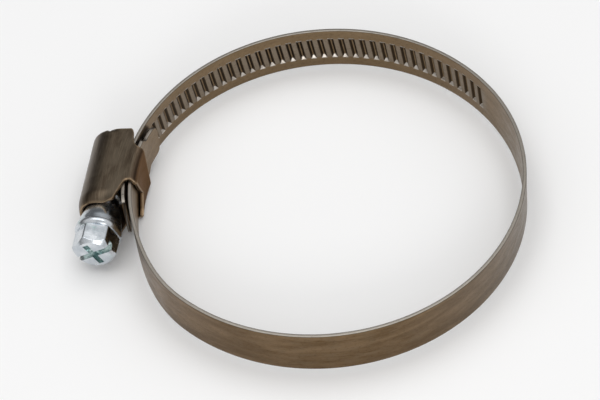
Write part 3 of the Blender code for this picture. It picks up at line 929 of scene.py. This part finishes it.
def screw_profile():
    """Sections of the screw from its hexagon to its journal, as (along, radius at a turn)."""

    def circle(radius):
        return lambda degrees: radius

    def hexagon(along):
        cone = END_FACE_RADIUS + (along - SCREW_FRONT - CHAMFER_START) * CHAMFER_SLOPE
        neck = HEX_FOOT_RADIUS + (HEX_BACK - along) * HEX_FOOT_SLOPE
        return lambda degrees: min(hexagon_radius(degrees), cone, neck)

    made = [
        (SCREW_FRONT + behind * MM, circle(END_FACE_RADIUS - drawn_in * MM))
        for behind, drawn_in in END_FACE_EDGE
    ]
    foot_start = HEX_BACK - FOOT_LENGTH
    chamfer = np.linspace(SCREW_FRONT + CHAMFER_START, SCREW_FRONT + CHAMFER_END, CHAMFER_STEPS)
    body = np.linspace(SCREW_FRONT + BODY_START, foot_start - BODY_GAP, BODY_STEPS)
    foot = np.linspace(foot_start, HEX_BACK, FOOT_STEPS)
    made += [(along, hexagon(along)) for along in np.concatenate([chamfer, body, foot])]
    made += [(along * MM, circle(radius * MM)) for along, radius in FLANGE_AND_NECK]
    for along in np.linspace(THREAD_FRONT, THREAD_BACK, THREAD_STEPS):
        made.append((along, lambda degrees, along=along: thread_radius(along, degrees)))
    made += [(along * MM, circle(radius * MM)) for along, radius in JOURNAL]
    return made


def slot_cutter(degrees, length):
    """A bar with a round bottom that cuts one slot of the recess."""
    bm = bmesh.new()
    half = SLOT_WIDTH / 2
    round_depth = SLOT_DEPTH - half
    outline = [(half, -SLOT_RISE), (half, round_depth)]
    for angle in SLOT_ROUND_DEG:
        side = half * math.cos(math.radians(angle))
        outline.append((side, round_depth + half * math.sin(math.radians(angle))))
    outline += [(-half, round_depth), (-half, -SLOT_RISE)]
    rings = [
        [bm.verts.new((end, depth, side)) for side, depth in outline]
        for end in (-length / 2, length / 2)
    ]
    loop_faces(bm, rings, closed=False)
    cap_ends(bm, rings)
    turn = Matrix.Rotation(math.radians(degrees), 4, "Y")
    place = Matrix.Translation(from_housing(SCREW_AXIS_OUT, SCREW_FRONT, 0.0))
    bmesh.ops.transform(bm, matrix=place @ turn, verts=bm.verts)
    return bm


def cut_away(piece, cutter):
    modifier = piece.modifiers.new("slot", "BOOLEAN")
    modifier.operation = "DIFFERENCE"
    modifier.solver = "EXACT"
    modifier.object = cutter
    bpy.context.view_layer.objects.active = piece
    bpy.ops.object.modifier_apply(modifier=modifier.name)
    bpy.data.objects.remove(cutter, do_unlink=True)


def screw_mesh():
    bm = bmesh.new()
    rings = []
    for along, radius_at in screw_profile():
        ring = []
        for index in range(SCREW_SEGMENTS):
            degrees = HEX_TURN_DEG + 360.0 * index / SCREW_SEGMENTS
            radius = radius_at(degrees)
            out = SCREW_AXIS_OUT + radius * math.cos(math.radians(degrees))
            up = radius * math.sin(math.radians(degrees))
            ring.append(bm.verts.new(from_housing(out, along, up)))
        rings.append(ring)
    loop_faces(bm, rings, closed=False)
    cap_ends(bm, rings)
    return bm


def make_screw():
    material = zinc_material("passivated_zinc", *HEAD_ZINC)
    recess = zinc_material("tinted_zinc_recess", *RECESS_ZINC)
    piece = finish_piece("worm_screw", screw_mesh(), material)
    piece.data.materials.append(recess)
    for index, (degrees, length) in enumerate(SLOTS):
        cutter = finish_piece(f"slot_cutter_{index}", slot_cutter(degrees, length), material)
        cutter.data.materials.append(recess)
        cutter.data.polygons.foreach_set("material_index", [1] * len(cutter.data.polygons))
        cut_away(piece, cutter)
    piece.data.set_sharp_from_angle(angle=math.radians(SCREW_SHARP_DEG))
    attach(piece, "screw")
    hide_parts("screw")


# Stage --------------------------------------------------------------------------------------

CAMERA_TURN = math.radians(12.34)
CAMERA_ELEVATION = math.radians(49.25)
CAMERA_ROLL = math.radians(7.15)
CAMERA_DISTANCE = 0.3989
CAMERA_LENS = 134.91
CAMERA_SHIFT = (-0.0411, -0.0160)
CAMERA_SENSOR = 36.0
CAMERA_CLIP = (0.01, 10.0)

FLOOR_SIZE = 3.0
FLOOR_DROP = 0.2 * MM
FLOOR_COLOUR = rgb(0.9, 0.9, 0.9)
FLOOR_ROUGHNESS = 0.9

SKY_DARK = 0.16
SKY_BRIGHT = 0.7
SKY_TILT = (0.22, -0.39, 1.0)  # the sky is brighter towards the front and the right
SKY_DARK_RISE = 0.15  # tilted height at which the sky starts to brighten
SKY_BRIGHT_RISE = 0.5


def make_floor():
    nodes = Nodes("pale_floor")
    nodes.shader.inputs["Base Color"].default_value = FLOOR_COLOUR
    nodes.shader.inputs["Roughness"].default_value = FLOOR_ROUGHNESS
    bm = bmesh.new()
    bmesh.ops.create_grid(bm, x_segments=1, y_segments=1, size=FLOOR_SIZE)
    floor = finish_piece("floor", bm, nodes.material)
    floor.location.z = -FLOOR_DROP


def aim(item, target):
    direction = target - item.location
    item.rotation_mode = "QUATERNION"
    item.rotation_quaternion = direction.to_track_quat("-Z", "Y")


def soft_light(name, place, size, power, aimed):
    light = bpy.data.lights.new(name, "AREA")
    light.shape = "RECTANGLE"
    light.size, light.size_y = size
    light.energy = power
    item = bpy.data.objects.new(name, light)
    item.location = RING_CENTRE + Vector(place)
    if aimed:
        aim(item, RING_CENTRE)
    bpy.context.scene.collection.objects.link(item)


def make_sky():
    """A pale sky over the front and the right, grey behind the clamp and below the level."""
    world = bpy.data.worlds.new("studio")
    bpy.context.scene.world = world
    world.use_nodes = True
    tree = world.node_tree
    direction = tree.nodes.new("ShaderNodeTexCoord").outputs["Generated"]
    tilt = tree.nodes.new("ShaderNodeVectorMath")
    tilt.operation = "DOT_PRODUCT"
    tilt.inputs[1].default_value = SKY_TILT
    tree.links.new(direction, tilt.inputs[0])
    rise = tree.nodes.new("ShaderNodeMapRange")
    rise.interpolation_type = "SMOOTHSTEP"
    rise.inputs["From Min"].default_value = SKY_DARK_RISE
    rise.inputs["From Max"].default_value = SKY_BRIGHT_RISE
    rise.inputs["To Min"].default_value = SKY_DARK
    rise.inputs["To Max"].default_value = SKY_BRIGHT
    tree.links.new(tilt.outputs["Value"], rise.inputs["Value"])
    background = tree.nodes["Background"]
    background.inputs["Color"].default_value = WHITE
    tree.links.new(rise.outputs["Result"], background.inputs["Strength"])


def make_lights():
    soft_light("top_light", place=(0.0, 0.02, 0.5), size=(0.5, 0.6), power=1.3, aimed=False)
    soft_light("front_light", place=(0.1, -0.6, 0.28), size=(0.3, 0.15), power=0.7, aimed=True)


def make_camera():
    turn = Vector((math.cos(CAMERA_TURN), math.sin(CAMERA_TURN), 0.0))
    ahead = Vector((-math.sin(CAMERA_TURN), math.cos(CAMERA_TURN), 0.0))
    forward = ahead * math.cos(CAMERA_ELEVATION) - Vector((0, 0, math.sin(CAMERA_ELEVATION)))
    upward = ahead * math.sin(CAMERA_ELEVATION) + Vector((0, 0, math.cos(CAMERA_ELEVATION)))
    axis_x = turn * math.cos(CAMERA_ROLL) - upward * math.sin(CAMERA_ROLL)
    axis_y = turn * math.sin(CAMERA_ROLL) + upward * math.cos(CAMERA_ROLL)
    data = bpy.data.cameras.new("photo_view")
    data.lens = CAMERA_LENS
    data.sensor_width = CAMERA_SENSOR
    data.shift_x, data.shift_y = CAMERA_SHIFT
    data.clip_start, data.clip_end = CAMERA_CLIP
    camera = bpy.data.objects.new("photo_view", data)
    rotation = Matrix((axis_x, axis_y, -forward)).transposed()
    place = Matrix.Translation(RING_CENTRE - forward * CAMERA_DISTANCE)
    camera.matrix_world = place @ rotation.to_4x4()
    bpy.context.scene.collection.objects.link(camera)
    bpy.context.scene.camera = camera


bpy.context.scene.view_settings.view_transform = "Standard"
make_camera()
make_sky()
make_lights()
make_floor()
make_band()
make_housing()
make_screw()

bpy.context.view_layer.update()
